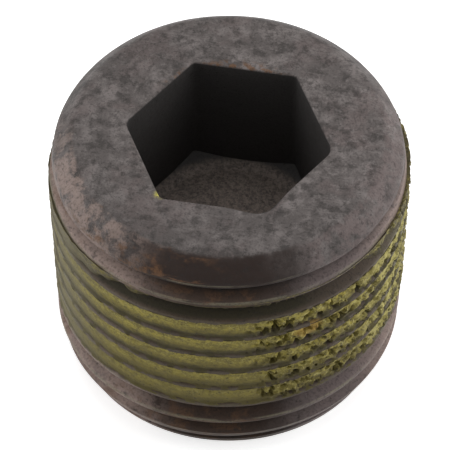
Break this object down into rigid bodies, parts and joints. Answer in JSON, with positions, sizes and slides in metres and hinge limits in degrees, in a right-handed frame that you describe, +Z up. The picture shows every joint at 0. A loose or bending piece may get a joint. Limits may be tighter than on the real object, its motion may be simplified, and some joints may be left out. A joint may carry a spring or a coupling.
{
  "type": "taper thread blanking plug",
  "caption": "Headless steel taper screw plug with a hexagon socket and dried sealant on its thread, which closes a threaded port.",
  "frame": {"origin": "middle of the small end face, on which the plug stands", "axes": "+Z up the screw axis towards the hexagon socket, +X through a corner of the socket"},
  "size_m": [0.0199, 0.02, 0.016],
  "materials": {
    "steel": "dark phosphated steel, worn and spotted with brown rust",
    "sealant": "dried yellow-green thread sealant, matt, chipped and pitted on one side"
  },
  "bodies": {
    "root": {"plug_body": "steel"}
  },
  "joints": []
}
